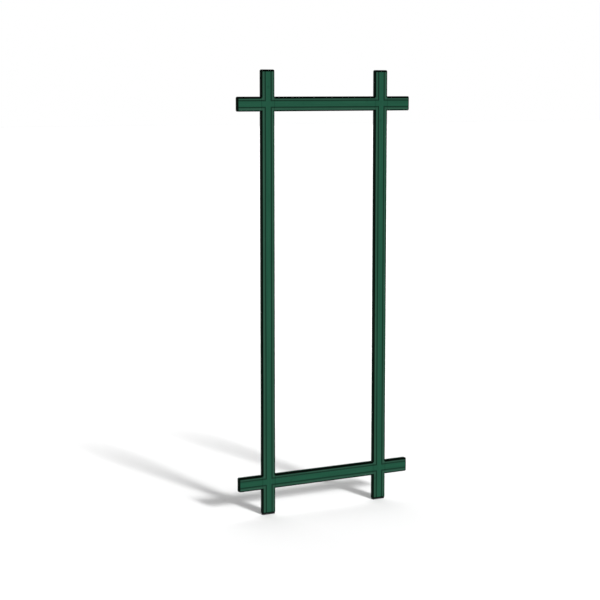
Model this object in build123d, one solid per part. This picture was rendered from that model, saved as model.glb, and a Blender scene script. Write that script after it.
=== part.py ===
from build123d import *

import os

# Garden frame: two posts and two rails of planed timber that cross in cross-halvings near their ends.
# X runs along the rails and Z up the posts. The front face looks to -Y.
# The origin is on the ground, midway between the posts and midway through the timber.

# Driving dimensions, in mm
HEIGHT = 1750.0  # ground to the top of the posts
POST_SPACING = 512.0  # between the centre lines of the posts
HORN = 103.5  # how far each end runs on past the edge of the member that it crosses
MEMBER_WIDTH = 57.0
MEMBER_DEPTH = 18.0
ARRIS_RADIUS = 2.5  # rounding of every outer edge of the assembled frame
END_RADIUS = 6.0  # rounding of the corners at the rails' ends and the posts' tops
GROOVE_OFFSET = 13.0  # from a member's centre line to the centre line of each groove in its face
GROOVE_WIDTH = 3.0
GROOVE_DEPTH = 2.0

# Foot pad under each post, and the two pins that hold it
PAD_THICKNESS = 5.0
PAD_INSET = 1.0  # how far the pad stands in from the post's sides
PAD_CORNER_RADIUS = 3.0
PAD_HOLE_RADIUS = 6.2
PIN_SPACING = 36.0
PIN_LENGTH = 22.0
PIN_RADIUS = 1.2
PIN_POINT = 2.5
PIN_HEAD_RADIUS = 2.8
PIN_HEAD_THICKNESS = 1.2
PIN_RECESS = 1.0  # how far the head lies up inside the pad's underside

# Threaded insert in the foot of each post, for a ground spike. Its thread is a plain M6 core bore.
INSERT_RADIUS = 4.4
INSERT_BORE_RADIUS = 2.5
INSERT_LENGTH = 15.0
INSERT_FLANGE_RADIUS = 5.6
INSERT_FLANGE_THICKNESS = 1.2

# Countersunk screws, driven from the back of each crossing
SCREW_SPACING = 34.0  # both ways, centred on the crossing
SCREW_LENGTH = 15.0
SCREW_RADIUS = 2.0
SCREW_HEAD_RADIUS = 3.9
SCREW_HEAD_DEPTH = 2.3
SCREW_POINT = 3.5
SCREW_SINK = 0.3  # how far the head lies below the back face
SOCKET_RADIUS = 1.5
SOCKET_FLUTE_RADIUS = 0.5
SOCKET_DEPTH = 1.4
SOCKET_LOBES = 6

FIT = 0.05  # clearance round everything that is driven into the timber

HALF_WIDTH = MEMBER_WIDTH / 2
HALF_DEPTH = MEMBER_DEPTH / 2
RAIL_LENGTH = POST_SPACING + MEMBER_WIDTH + 2 * HORN
POST_X = {"left": -POST_SPACING / 2, "right": POST_SPACING / 2}
RAIL_Z = {"bottom": HORN + HALF_WIDTH, "top": HEIGHT - HORN - HALF_WIDTH}
ENVELOPE = 2 * HEIGHT  # larger than the frame, for cutting blocks


def post_block(x, width=MEMBER_WIDTH):
    """The full length of one post, as wide as asked."""
    height = HEIGHT - PAD_THICKNESS
    return Pos(x, 0, PAD_THICKNESS + height / 2) * Box(width, MEMBER_DEPTH, height)


def rail_block(z, width=MEMBER_WIDTH):
    """The full length of one rail, as wide as asked."""
    return Pos(0, 0, z) * Box(RAIL_LENGTH, MEMBER_DEPTH, width)


def lattice(width=MEMBER_WIDTH):
    """All four members in one, as wide as asked, with level faces."""
    blocks = [post_block(x, width) for x in POST_X.values()]
    blocks += [rail_block(z, width) for z in RAIL_Z.values()]
    shape = blocks[0]
    for block in blocks[1:]:
        shape += block
    return shape


def is_free_corner(edge):
    """True for an edge through the thickness at a rail's end or a post's top."""
    middle = edge @ 0.5
    at_rail_end = abs(abs(middle.X) - RAIL_LENGTH / 2) < FIT
    at_post_top = abs(middle.Z - HEIGHT) < FIT
    return at_rail_end or at_post_top


def is_foot_corner(edge):
    """True for an edge through the thickness at the foot of a post."""
    return abs((edge @ 0.5).Z - PAD_THICKNESS) < FIT


def machined_frame():
    """The assembled timber: ends and edges rounded, and a pair of grooves routed round the face."""
    frame = lattice()
    frame = fillet(frame.edges().filter_by(Axis.Y).filter_by(is_free_corner), END_RADIUS)
    frame = fillet(frame.edges().filter_by(Axis.Y).filter_by(is_foot_corner), ARRIS_RADIUS)
    frame = fillet(frame.faces().filter_by(Axis.Y).edges(), ARRIS_RADIUS)
    grooves = lattice(2 * GROOVE_OFFSET + GROOVE_WIDTH) - lattice(2 * GROOVE_OFFSET - GROOVE_WIDTH)
    groove_floor = GROOVE_DEPTH - HALF_DEPTH
    face_layer = Pos(0, groove_floor - MEMBER_DEPTH, HEIGHT / 2) * Box(ENVELOPE, 2 * MEMBER_DEPTH, ENVELOPE)
    return frame - (grooves & face_layer)


def crossing_backs(x):
    """The back half of each square where a post crosses a rail. That half belongs to the rail."""
    square = Box(MEMBER_WIDTH, HALF_DEPTH, MEMBER_WIDTH)
    return [Pos(x, HALF_DEPTH / 2, z) * square for z in RAIL_Z.values()]


def screw_profile(grow=0.0):
    """Half section of a countersunk screw in the XZ plane, head at the top and point down."""
    head_radius = SCREW_HEAD_RADIUS + grow
    radius = SCREW_RADIUS + grow
    neck = -SCREW_HEAD_DEPTH - grow
    tip = -SCREW_LENGTH - grow
    outline = [(0, 0), (head_radius, 0), (radius, neck), (radius, tip + SCREW_POINT), (0, tip)]
    return make_face(Plane.XZ * Polyline(*outline, close=True))


def socket():
    """Six-lobed drive socket, cut down from the top of a screw's head."""
    shape = Circle(SOCKET_RADIUS)
    for lobe in PolarLocations(SOCKET_RADIUS, SOCKET_LOBES):
        shape -= lobe * Circle(SOCKET_FLUTE_RADIUS)
    return extrude(shape, -SOCKET_DEPTH)


def screw_places(x, z):
    """Where the four screws of one crossing enter the back face, pointing to the front."""
    reach = SCREW_SPACING / 2
    y = HALF_DEPTH - SCREW_SINK
    signs = (-1, 1)
    return [Pos(x + i * reach, y, z + j * reach) * Rot(-90, 0, 0) for i in signs for j in signs]


def screw():
    """One countersunk screw with its head's top at the origin, pointing down."""
    return revolve(screw_profile(), Axis.Z) - socket()


def screw_hole():
    """The hole that a screw makes, open up to the face above its head."""
    mouth = extrude(Circle(SCREW_HEAD_RADIUS + FIT), 2 * SCREW_SINK)
    return revolve(screw_profile(FIT), Axis.Z) + mouth


def pin_places(x):
    """Where the two pins of one foot pad stand, pointing up."""
    return [Pos(x + side * PIN_SPACING / 2, 0, PIN_RECESS) for side in (-1, 1)]


def pin(grow=0.0):
    """A flat-headed pin that stands on its head."""
    shank_top = PIN_LENGTH - PIN_POINT + grow
    outline = [
        (0, 0),
        (PIN_HEAD_RADIUS + grow, 0),
        (PIN_HEAD_RADIUS + grow, PIN_HEAD_THICKNESS + grow),
        (PIN_RADIUS + grow, PIN_HEAD_THICKNESS + grow),
        (PIN_RADIUS + grow, shank_top),
        (0, shank_top + PIN_POINT),
    ]
    return revolve(make_face(Plane.XZ * Polyline(*outline, close=True)), Axis.Z)


def pin_hole():
    """The hole that a pin makes, open down to the ground below its head."""
    return pin(FIT) + extrude(Circle(PIN_HEAD_RADIUS + FIT), -2 * PIN_RECESS)


def insert_body(grow=0.0):
    """The outside of a threaded insert that stands on its flange, at the origin."""
    flange = extrude(Circle(INSERT_FLANGE_RADIUS + grow), INSERT_FLANGE_THICKNESS + grow)
    return flange + extrude(Circle(INSERT_RADIUS + grow), INSERT_LENGTH + grow)


def insert(x):
    bore = extrude(Circle(INSERT_BORE_RADIUS), INSERT_LENGTH)
    return Pos(x, 0, PAD_THICKNESS) * (insert_body() - bore)


def foot_pad(x):
    """A flat pad with rounded corners, a hole below the insert and a recess for each pin's head."""
    pad = Box(MEMBER_WIDTH - 2 * PAD_INSET, MEMBER_DEPTH - 2 * PAD_INSET, PAD_THICKNESS)
    pad = fillet(pad.edges().filter_by(Axis.Z), PAD_CORNER_RADIUS)
    pad = Pos(x, 0, PAD_THICKNESS / 2) * pad
    pad -= Pos(x, 0, 0) * extrude(Circle(PAD_HOLE_RADIUS), PAD_THICKNESS)
    for place in pin_places(x):
        pad -= place * pin_hole()
    return pad


def cut_screw_holes(timber, places):
    for place in places:
        timber -= place * screw_hole()
    return timber


def post(frame, x):
    """One post, with its halvings cut from the back and its foot bored."""
    timber = frame & post_block(x)
    for square in crossing_backs(x):
        timber -= square
    for z in RAIL_Z.values():
        timber = cut_screw_holes(timber, screw_places(x, z))
    for place in pin_places(x):
        timber -= place * pin_hole()
    return timber - Pos(x, 0, PAD_THICKNESS) * insert_body(FIT)


def rail(frame, z):
    """One rail, with its halvings cut from the front."""
    timber = frame & rail_block(z)
    for x in POST_X.values():
        front = Pos(x, -HALF_DEPTH / 2, z) * Box(MEMBER_WIDTH, HALF_DEPTH, MEMBER_WIDTH)
        timber -= front
        timber = cut_screw_holes(timber, screw_places(x, z))
    return timber


def write(name, shape):
    export_step(shape, f"parts/{name}.step")


def group(solids):
    return Compound(children=solids)


os.makedirs("parts", exist_ok=True)
whole = machined_frame()
for level, z in RAIL_Z.items():
    write(f"{level}_rail", rail(whole, z))
for side, x in POST_X.items():
    write(f"{side}_post", post(whole, x))
    write(f"{side}_foot_pad", foot_pad(x))
    write(f"{side}_foot_pad_pins", group([place * pin() for place in pin_places(x)]))
    write(f"{side}_foot_insert", insert(x))
    for level, z in RAIL_Z.items():
        screws = [place * screw() for place in screw_places(x, z)]
        write(f"{level}_{side}_joint_screws", group(screws))
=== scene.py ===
import math

import bpy
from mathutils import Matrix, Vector


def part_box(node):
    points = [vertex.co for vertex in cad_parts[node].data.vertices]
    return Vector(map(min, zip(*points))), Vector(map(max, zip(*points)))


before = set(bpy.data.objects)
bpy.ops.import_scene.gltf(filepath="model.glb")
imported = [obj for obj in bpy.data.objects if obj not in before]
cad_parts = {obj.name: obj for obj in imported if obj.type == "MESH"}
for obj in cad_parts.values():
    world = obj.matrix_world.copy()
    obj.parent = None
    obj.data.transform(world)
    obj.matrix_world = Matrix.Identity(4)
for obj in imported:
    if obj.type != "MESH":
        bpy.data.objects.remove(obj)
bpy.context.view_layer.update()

# ---- the frame's own measures, in metres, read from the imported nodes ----
LEFT_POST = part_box("left_post")
RIGHT_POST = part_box("right_post")
TOP_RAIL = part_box("top_rail")
BOTTOM_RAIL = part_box("bottom_rail")
HALF_DEPTH = (LEFT_POST[1][1] - LEFT_POST[0][1]) / 2
HALF_WIDTH = (LEFT_POST[1][0] - LEFT_POST[0][0]) / 2
HEIGHT = LEFT_POST[1][2]
FOOT = LEFT_POST[0][2]
POST_X = (RIGHT_POST[0][0] + RIGHT_POST[1][0]) / 2
RAIL_END = TOP_RAIL[1][0]
RAIL_Z = [(rail[0][2] + rail[1][2]) / 2 for rail in (BOTTOM_RAIL, TOP_RAIL)]

# ---- the paint's pattern and painted shade on the front, in metres from the frame's outline ----
EDGE_SHADE = 0.0036  # painted shade: a dark band along every front edge, standing in for the shaded sides
TOP_EDGE_SHADE = 0.0075  # painted shade, wider along the edges that look upwards, standing in for the shaded tops
EDGE_SHADE_WAVER = 0.0008  # how unsteady the edge of the painted shade is
GROOVE_LINE = HALF_WIDTH - 0.013  # centre line of the groove
GROOVE_SHADE_WIDTH = 0.0020  # half the width of the painted shade along the groove
GROOVE_SHADE_STRENGTH = 0.60  # how much of the paint the painted shade in the groove hides
FEATHER = 0.0012  # how softly each of these ends
SEAM = 0.0002  # half the width of the glue line round a halving
SEAM_FADE = 3 * SEAM  # where the glue line has faded out
WAVER_SCALE = 60  # of the noise that makes the edge of the painted shade unsteady, per metre
FACE_RIM = (0.0006, 0.00012)  # how far below the broad face its paint begins, and is whole
EDGE_SHADE_REACH = (0.0028, 0.0022)  # how far below the front face the painted edge shade ends, and is still whole

# ---- the timber under the paint, in metres, and noise scales per metre ----
RING_SPACING = 0.0036
RING_RIPPLE = 0.0035  # how far a ring strays from a true circle
RIPPLE_SCALE = 26
PITH_DEPTH = 0.038  # how far behind the middle of the board the middle of the tree lay
PITH_WANDER = 0.050  # how far the middle of the tree strays sideways along a board
WANDER_SCALE = 2.2
SLOW_ACROSS = 0.12  # how much more slowly a board's rings change across the grain than along it
LATE_WOOD_RISE = (0.35, 0.85)  # in parts of a ring: the wood darkens slowly
LATE_WOOD_FALL = (0.90, 1.0)  # and ends sharply
KNOT_RADIUS = 0.0075
KNOT_HEART = 0.6 * KNOT_RADIUS  # within which it is darkest
KNOTS_PER_METRE = 4.6

# Each board: which way its grain runs, its centre line, and a shift that gives it a pattern of its own
BOARDS = {
    "left_post": ("Z", -POST_X, (0, 0, 0)),
    "right_post": ("Z", POST_X, (3, 1, 7)),
    "top_rail": ("X", RAIL_Z[1], (5, 2, 1)),
    "bottom_rail": ("X", RAIL_Z[0], (2, 9, 4)),
}

# ---- marks in the dry paint: noise scales per metre, and how strongly each one colours it ----
TONE_SCALE = 5.5  # broad patches where the coat is thinner
TONE_BAND = (0.3, 0.7)
TONE_STRENGTH = 0.45
STREAK_SCALE = 210  # brush marks
STREAK_BAND = (0.42, 0.62)
STREAK_STRENGTH = 0.45
RING_STRENGTH = 0.22
KNOT_STRENGTH = 0.55
BRISTLE_SCALE = 520  # the marks of single bristles
BRISTLE_STRETCH = 0.02  # the thickness of a brush mark over its length
FIBRE_SCALE = 1500  # wood fibres that the first coat raised
FIBRE_STRETCH = 0.008
PEEL_SCALE = 900  # the skin of the paint itself
SATIN_BAND = (0.35, 0.65)
SATIN = (0.50, 0.66)  # the paint's roughness
SHADE_AND_GLUE_MATT = 0.30  # how much rougher the painted edge shade and the glue lines are
PAINT_SPECULAR = 0.09

# How high each mark in the painted timber stands, in metres, and how strongly it catches the light
RELIEF = {
    "late_wood": (0.00025, 0.6),
    "knot": (0.0005, 0.5),
    "streak": (0.00030, 0.5),
    "bristle": (0.00012, 0.6),
    "fibre": (0.00006, 0.5),
    "peel": (0.00004, 0.4),
    "seam": (0.0004, 0.8),
}

# ---- metal and plastic: noise scales per metre, and how strongly each mark shows ----
STAIN_SCALE = 700
STAIN_BAND = (0.4, 0.7)
STAIN_STRENGTH = 0.4
STAIN_SHADE = 0.7  # how bright the metal is where it is stained
SCRATCH_SCALE = 2600
SCRATCH_STRETCH = (1, 1, 0.06)
SCRATCH_BAND = (0.3, 0.7)
SCRATCH_ROUGHNESS = (-0.07, 0.12)  # added to the metal's own roughness
SCRATCH_RELIEF = (0.00002, 0.5)
GRAIN_SCALE = 2400
GRAIN_RELIEF = (0.00004, 0.6)
DUST_SCALE = 160
DUST_BAND = (0.5, 0.75)
DUST_STRENGTH = 0.5
PLASTIC_BAND = (0.3, 0.7)
PLASTIC_ROUGHNESS = (0.55, 0.75)
STEEL_ROUGHNESS = 0.32
ZINC_ROUGHNESS = 0.40
BRASS_ROUGHNESS = 0.30

# ---- colours, linear ----
FRONT_GREEN = (0.0078, 0.0430, 0.0245, 1)  # the broad faces, out in the light
PALE_GREEN = (0.0100, 0.0500, 0.0290, 1)  # where the brush left the paint thin
DEEP_GREEN = (0.0061, 0.0335, 0.0191, 1)  # in brush marks, late wood and knots
RIM_GREEN = (0.0145, 0.0450, 0.0290, 1)  # outside the groove, where weather has dulled the paint
SHADED_SIDE_GREEN = (0.0048, 0.0240, 0.0136, 1)  # painted shade: a darker copy of the paint for the edges and ends, standing in for their shade
# near-black for the painted shade along the edges and in the groove, and for the glue lines
SHADE_AND_GLUE_GREEN = (0.0003, 0.0010, 0.0006, 1)
STEEL = (0.55, 0.55, 0.54, 1)
ZINC = (0.42, 0.43, 0.44, 1)
BRASS = (0.60, 0.40, 0.15, 1)
PAD_BLACK = (0.010, 0.011, 0.011, 1)
SOIL = (0.035, 0.032, 0.026, 1)
WHITE = (1, 1, 1, 1)

# ---- the floor, in metres, and the surround ----
FLOOR_REACH = 60
FLOOR_BAND = (1.1, 2.1)  # painted light: how far from the frame the floor begins to get paler, and is at its palest, so the frame's shadow fades away from it
FLOOR_SEEN = (0.785, 0.96)  # how pale it looks to the camera, near the frame and far away
FLOOR_BOUNCE = (0.3, 0.3, 0.3, 1)  # what it throws back on the frame
SURROUND_LIGHT = 0.14  # what the surround throws on the frame, though it looks white

# ---- the lamps: azimuth, elevation, strength and spread, with the angles in degrees ----
KEY_AZIMUTH = 5.0
KEY_ELEVATION = 24.5
LAMPS = {
    "key": (KEY_AZIMUTH, KEY_ELEVATION, 5.0, 8.5),
    "soft_key": (KEY_AZIMUTH, KEY_ELEVATION, 1.5, 34),
    "back_fill": (150, 18, 3.0, 80),
}

# ---- the camera: at standing eye height, to the left of the frame and some way back ----
CAMERA_PLACE = (-3.268, -5.662, 1.679)  # metres
CAMERA_DOWN = 7.305  # degrees below level
CAMERA_RIGHT = 29.145  # degrees to the right of straight ahead
LENS = 99.2  # mm
SENSOR = 36  # mm
CLIP_END = 200  # metres


class Nodes:
    """Short calls for building one material's node tree."""

    def __init__(self, name):
        self.material = bpy.data.materials.new(name)
        self.material.use_nodes = True
        self.tree = self.material.node_tree
        self.shader = self.tree.nodes["Principled BSDF"]
        self.place = self.add("ShaderNodeTexCoord").outputs["Object"]

    def add(self, kind, **settings):
        node = self.tree.nodes.new(kind)
        for key, value in settings.items():
            setattr(node, key, value)
        return node

    def link(self, source, target):
        """Joins two sockets, or sets the target's value if the source is a number or a colour."""
        if isinstance(source, bpy.types.NodeSocket):
            self.tree.links.new(source, target)
        else:
            target.default_value = source

    def math(self, operation, a, b=0.0):
        node = self.add("ShaderNodeMath", operation=operation)
        self.link(a, node.inputs[0])
        self.link(b, node.inputs[1])
        return node.outputs[0]

    def chain(self, operation, first, *others):
        """The same operation over several values, such as the least or the most of them."""
        for other in others:
            first = self.math(operation, first, other)
        return first

    def gap(self, value, middle):
        """How far a value is from a middle one, either way."""
        return self.math("ABSOLUTE", self.math("SUBTRACT", value, middle))

    def length(self, a, b):
        """How long the line is that goes a one way and b the other way, at right angles."""
        return self.math("SQRT", self.math("ADD", self.math("POWER", a, 2.0), self.math("POWER", b, 2.0)))

    def sway(self, noise, width):
        """A noise made into a distance to either side of nought."""
        return self.math("MULTIPLY", self.math("SUBTRACT", noise, 0.5), width)

    def ramp(self, value, low, high, out_low=0.0, out_high=1.0):
        """A smooth step from out_low to out_high as the value goes from low to high."""
        node = self.add("ShaderNodeMapRange", interpolation_type="SMOOTHSTEP")
        for key, source in enumerate((value, low, high, out_low, out_high)):
            self.link(source, node.inputs[key])
        return node.outputs[0]

    def xyz(self):
        node = self.add("ShaderNodeSeparateXYZ")
        self.link(self.place, node.inputs[0])
        return node.outputs

    def vector(self, x, y, z=0.0):
        node = self.add("ShaderNodeCombineXYZ")
        for key, source in enumerate((x, y, z)):
            self.link(source, node.inputs[key])
        return node.outputs[0]

    def noise(self, scale, detail, stretch=(1, 1, 1), shift=(0, 0, 0)):
        """Soft random marks, about as many to a metre as the scale says. More detail adds finer ones."""
        mapping = self.add("ShaderNodeMapping")
        self.link(self.place, mapping.inputs["Vector"])
        mapping.inputs["Scale"].default_value = stretch
        mapping.inputs["Location"].default_value = shift
        node = self.add("ShaderNodeTexNoise")
        self.link(mapping.outputs[0], node.inputs["Vector"])
        node.inputs["Scale"].default_value = scale
        node.inputs["Detail"].default_value = detail
        return node.outputs[0]

    def mix(self, amount, a, b):
        node = self.add("ShaderNodeMix", data_type="RGBA")
        self.link(amount, node.inputs[0])
        self.link(a, node.inputs[6])
        self.link(b, node.inputs[7])
        return node.outputs[2]

    def bump(self, height, distance, strength, under=None):
        node = self.add("ShaderNodeBump")
        self.link(height, node.inputs["Height"])
        node.inputs["Distance"].default_value = distance
        node.inputs["Strength"].default_value = strength
        if under is not None:
            self.link(under, node.inputs["Normal"])
        return node.outputs[0]

    def finish(self, colour, roughness, normal=None, **values):
        self.link(colour, self.shader.inputs["Base Color"])
        self.link(roughness, self.shader.inputs["Roughness"])
        if normal is not None:
            self.link(normal, self.shader.inputs["Normal"])
        for key, value in values.items():
            self.shader.inputs[key.replace("_", " ")].default_value = value
        return self.material


def by_axis(grain, along, across):
    """For X, Y and Z, the one value along the grain and the other across it."""
    return tuple(along if axis == grain else across for axis in "XYZ")


def member_distances(n):
    """How far a point lies in from the posts' and rails' sides and ends, and below the nearest top edge."""
    x, _, z = n.xyz()
    across = n.math("ABSOLUTE", x)
    in_post = n.math("SUBTRACT", HALF_WIDTH, n.gap(across, POST_X))
    below_top = n.math("SUBTRACT", HEIGHT, z)
    upper = n.math("GREATER_THAN", z, sum(RAIL_Z) / 2)
    rail_middle = n.math("ADD", n.math("MULTIPLY", upper, RAIL_Z[1] - RAIL_Z[0]), RAIL_Z[0])
    above_rail = n.math("SUBTRACT", z, rail_middle)
    in_rail = n.math("SUBTRACT", HALF_WIDTH, n.math("ABSOLUTE", above_rail))
    rail_below_top = n.math("SUBTRACT", HALF_WIDTH, above_rail)
    post_below_top = n.math("MULTIPLY", n.math("GREATER_THAN", in_post, 0.0), below_top)
    from_post_end = n.math("MINIMUM", below_top, n.math("SUBTRACT", z, FOOT))
    from_rail_end = n.math("SUBTRACT", RAIL_END, across)
    from_ends = (from_post_end, from_rail_end)
    return in_post, in_rail, from_ends, n.math("MAXIMUM", rail_below_top, post_below_top)


def glue_lines(n, post, rail):
    """1 on the hairlines round each halving: the post runs through in front, the rail behind."""
    y = n.xyz()[1]
    front = n.math("LESS_THAN", y, 0.0)
    post_side = n.ramp(n.gap(post, 0.0), SEAM, SEAM_FADE, 1.0, 0.0)
    rail_side = n.ramp(n.gap(rail, 0.0), SEAM, SEAM_FADE, 1.0, 0.0)
    in_front = n.chain("MULTIPLY", front, post_side, n.math("GREATER_THAN", rail, 0.0))
    back = n.math("SUBTRACT", 1.0, front)
    behind = n.chain("MULTIPLY", back, rail_side, n.math("GREATER_THAN", post, 0.0))
    return n.math("ADD", in_front, behind)


def growth_rings(n, grain, middle, shift):
    """The height of the late wood, which stands a little proud under the paint, and the knots."""
    x, y, z = n.xyz()
    across = x if grain == "Z" else z
    slow = by_axis(grain, 1.0, SLOW_ACROSS)
    wander = n.sway(n.noise(WANDER_SCALE, 3, slow, shift), PITH_WANDER)
    ripple = n.sway(n.noise(RIPPLE_SCALE, 3, slow, shift), RING_RIPPLE)
    off_centre = n.math("ADD", n.math("SUBTRACT", across, middle), wander)
    deep = n.math("ADD", n.math("SUBTRACT", PITH_DEPTH, y), ripple)
    phase = n.math("FRACT", n.math("DIVIDE", n.length(off_centre, deep), RING_SPACING))
    late_wood = n.math("MULTIPLY", n.ramp(phase, *LATE_WOOD_RISE), n.ramp(phase, *LATE_WOOD_FALL, 1.0, 0.0))
    cells = n.add("ShaderNodeTexVoronoi", voronoi_dimensions="2D")
    n.link(n.vector(n.math("ADD", x, shift[0]), n.math("ADD", z, shift[1])), cells.inputs["Vector"])
    cells.inputs["Scale"].default_value = KNOTS_PER_METRE
    from_knot = n.math("DIVIDE", cells.outputs["Distance"], KNOTS_PER_METRE)
    return late_wood, n.ramp(from_knot, KNOT_HEART, KNOT_RADIUS, 1.0, 0.0)


def painted_pattern(n, shift):
    """On the front: painted shade along the edges, the rim outside the groove, and painted shade in the
    groove.
    """
    y = n.xyz()[1]
    front = n.math("LESS_THAN", y, 0.0)
    near_front = n.ramp(y, *(depth - HALF_DEPTH for depth in EDGE_SHADE_REACH))
    post, rail, (post_end, rail_end), below_top = member_distances(n)
    inside = n.math("MAXIMUM", n.math("MINIMUM", post, post_end), n.math("MINIMUM", rail, rail_end))
    waver = n.sway(n.noise(WAVER_SCALE, 3, shift=shift), EDGE_SHADE_WAVER)
    # painted shade along the front edges, wider along the upward ones
    from_edge = n.ramp(n.math("ADD", inside, waver), EDGE_SHADE, EDGE_SHADE + FEATHER)
    from_top = n.ramp(n.math("ADD", below_top, waver), TOP_EDGE_SHADE, TOP_EDGE_SHADE + FEATHER)
    edge_shade = n.math("SUBTRACT", 1.0, n.math("MULTIPLY", from_edge, from_top))
    across = n.math("MAXIMUM", post, rail)
    rim = n.ramp(across, GROOVE_LINE - FEATHER, GROOVE_LINE, 1.0, 0.0)
    # painted shade along the groove
    groove_shade = n.ramp(n.gap(across, GROOVE_LINE), GROOVE_SHADE_WIDTH, GROOVE_SHADE_WIDTH + FEATHER, GROOVE_SHADE_STRENGTH, 0.0)
    edge_shade = n.math("MULTIPLY", edge_shade, near_front)
    rim = n.math("MULTIPLY", rim, front)
    groove_shade = n.math("MULTIPLY", groove_shade, front)
    return edge_shade, rim, groove_shade, glue_lines(n, post, rail)


def painted_timber(name, grain, middle, shift):
    """Matt garden paint, brushed along the grain of a planed softwood board, with painted shade on its
    sides, along its front edges and in its grooves.
    """
    n = Nodes(name)
    brushed = by_axis(grain, BRISTLE_STRETCH, 1.0)
    from_middle = n.math("ABSOLUTE", n.xyz()[1])
    broad_face = n.ramp(from_middle, *(HALF_DEPTH - depth for depth in FACE_RIM))
    edge_shade, rim, groove_shade, seam = painted_pattern(n, shift)
    late_wood, knot = growth_rings(n, grain, middle, shift)
    tone = n.noise(TONE_SCALE, 3, shift=shift)
    streak = n.noise(STREAK_SCALE, 5, brushed, shift)

    coat = n.mix(n.ramp(tone, *TONE_BAND, 0.0, TONE_STRENGTH), FRONT_GREEN, PALE_GREEN)
    coat = n.mix(rim, coat, RIM_GREEN)
    coat = n.mix(n.ramp(streak, *STREAK_BAND, 0.0, STREAK_STRENGTH), coat, DEEP_GREEN)
    coat = n.mix(n.ramp(late_wood, 0.0, 1.0, 0.0, RING_STRENGTH), coat, DEEP_GREEN)
    coat = n.mix(n.ramp(knot, 0.0, 1.0, 0.0, KNOT_STRENGTH), coat, DEEP_GREEN)
    # painted shade in the groove
    coat = n.mix(groove_shade, coat, SHADE_AND_GLUE_GREEN)
    # painted shade along the front edges, and the real dark glue lines round the halvings
    dark = n.math("MAXIMUM", edge_shade, seam)
    # the sides and ends take a darker copy of the paint, as painted shade
    colour = n.mix(dark, n.mix(broad_face, SHADED_SIDE_GREEN, coat), SHADE_AND_GLUE_GREEN)

    bristle = n.noise(BRISTLE_SCALE, 4, brushed, shift)
    marks = {
        "late_wood": late_wood,
        "knot": knot,
        "streak": streak,
        "bristle": bristle,
        "fibre": n.noise(FIBRE_SCALE, 3, by_axis(grain, FIBRE_STRETCH, 1.0), shift),
        "peel": n.noise(PEEL_SCALE, 2, shift=shift),
        "seam": seam,
    }
    relief = None
    for mark, height in marks.items():
        relief = n.bump(height, *RELIEF[mark], relief)
    satin = n.ramp(bristle, *SATIN_BAND, *SATIN)
    roughness = n.math("ADD", satin, n.ramp(dark, 0.0, 1.0, 0.0, SHADE_AND_GLUE_MATT))
    return n.finish(colour, roughness, relief, Specular_IOR_Level=PAINT_SPECULAR)


def turned_metal(name, colour, roughness):
    """Bare metal with fine marks from rolling and handling."""
    n = Nodes(name)
    stain = n.noise(STAIN_SCALE, 4)
    scratch = n.noise(SCRATCH_SCALE, 3, SCRATCH_STRETCH)
    stained = tuple(STAIN_SHADE * c for c in colour[:3]) + (1,)
    tint = n.mix(n.ramp(stain, *STAIN_BAND, 0.0, STAIN_STRENGTH), colour, stained)
    rough = n.ramp(scratch, *SCRATCH_BAND, *(roughness + change for change in SCRATCH_ROUGHNESS))
    return n.finish(tint, rough, n.bump(scratch, *SCRATCH_RELIEF), Metallic=1.0)


def moulded_plastic(name, colour):
    """Matt moulded plastic with a fine spark-eroded grain and a dusting of soil."""
    n = Nodes(name)
    grain = n.noise(GRAIN_SCALE, 2)
    dust = n.noise(DUST_SCALE, 5)
    tint = n.mix(n.ramp(dust, *DUST_BAND, 0.0, DUST_STRENGTH), colour, SOIL)
    rough = n.ramp(dust, *PLASTIC_BAND, *PLASTIC_ROUGHNESS)
    return n.finish(tint, rough, n.bump(grain, *GRAIN_RELIEF))


def dress(material, *nodes):
    for node in nodes:
        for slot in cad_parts[node].material_slots:
            slot.material = material


def floor_white():
    """White to the eye, and paler away from the frame as painted light, but it throws less light back on
    the frame than white would.
    """
    n = Nodes("floor_white")
    seen = n.add("ShaderNodeLightPath").outputs["Is Camera Ray"]
    x, y, _ = n.xyz()
    # painted light: the floor gets paler away from the frame
    far_painted_light = n.ramp(n.length(x, y), *FLOOR_BAND, *FLOOR_SEEN)
    colour = n.mix(seen, FLOOR_BOUNCE, n.vector(far_painted_light, far_painted_light, far_painted_light))
    return n.finish(colour, 1.0, Specular_IOR_Level=0.0)


def add_camera():
    data = bpy.data.cameras.new("camera")
    data.sensor_width = SENSOR
    data.lens = LENS
    data.clip_end = CLIP_END
    camera = bpy.data.objects.new("camera", data)
    camera.location = CAMERA_PLACE
    camera.rotation_euler = (math.radians(90 - CAMERA_DOWN), 0, math.radians(-CAMERA_RIGHT))
    bpy.context.scene.collection.objects.link(camera)
    bpy.context.scene.camera = camera


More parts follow.
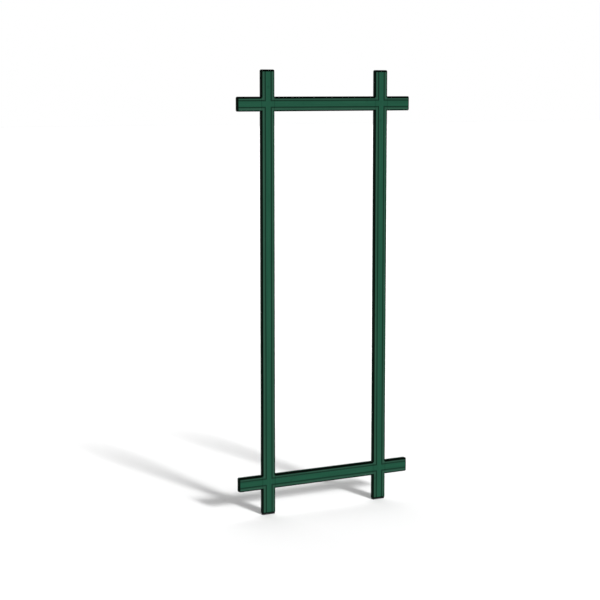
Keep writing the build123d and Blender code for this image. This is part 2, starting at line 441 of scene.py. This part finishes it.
def add_lamp(name, azimuth, elevation, strength, spread):
    """A distant studio lamp in this direction from the frame. Azimuth 0 is straight in front of it."""
    data = bpy.data.lights.new(name, "SUN")
    data.energy = strength
    data.angle = math.radians(spread)
    lamp = bpy.data.objects.new(name, data)
    lamp.visible_glossy = False
    a, e = math.radians(azimuth), math.radians(elevation)
    towards = Vector((math.sin(a) * math.cos(e), -math.cos(a) * math.cos(e), math.sin(e)))
    lamp.rotation_euler = towards.to_track_quat("Z", "Y").to_euler()
    bpy.context.scene.collection.objects.link(lamp)


def add_floor():
    """A plain white floor that runs out to the surround."""
    mesh = bpy.data.meshes.new("floor")
    corners = [(x * FLOOR_REACH, y * FLOOR_REACH, 0) for x, y in ((-1, -1), (1, -1), (1, 1), (-1, 1))]
    mesh.from_pydata(corners, [], [(0, 1, 2, 3)])
    floor = bpy.data.objects.new("floor", mesh)
    mesh.materials.append(floor_white())
    bpy.context.scene.collection.objects.link(floor)


def add_surround():
    """White to the camera, and a faint light from all sides on the frame."""
    world = bpy.data.worlds.new("surround")
    world.use_nodes = True
    bpy.context.scene.world = world
    nodes, links = world.node_tree.nodes, world.node_tree.links
    surround = nodes["Background"]
    surround.inputs["Strength"].default_value = SURROUND_LIGHT
    surround.inputs["Color"].default_value = WHITE
    seen = nodes.new("ShaderNodeBackground")
    seen.inputs["Color"].default_value = WHITE
    path = nodes.new("ShaderNodeLightPath")
    choose = nodes.new("ShaderNodeMixShader")
    links.new(path.outputs["Is Camera Ray"], choose.inputs[0])
    links.new(surround.outputs[0], choose.inputs[1])
    links.new(seen.outputs[0], choose.inputs[2])
    links.new(choose.outputs[0], nodes["World Output"].inputs[0])


for node, board in BOARDS.items():
    dress(painted_timber(f"paint_{node}", *board), node)
screws = [f"{level}_{side}_joint_screws" for level in ("top", "bottom") for side in ("left", "right")]
dress(turned_metal("stainless_steel", STEEL, STEEL_ROUGHNESS), *screws)
dress(turned_metal("zinc_plate", ZINC, ZINC_ROUGHNESS), "left_foot_pad_pins", "right_foot_pad_pins")
dress(turned_metal("brass", BRASS, BRASS_ROUGHNESS), "left_foot_insert", "right_foot_insert")
dress(moulded_plastic("pad_plastic", PAD_BLACK), "left_foot_pad", "right_foot_pad")

add_camera()
add_floor()
add_surround()
for name, values in LAMPS.items():
    add_lamp(name, *values)
bpy.context.scene.view_settings.view_transform = "Standard"
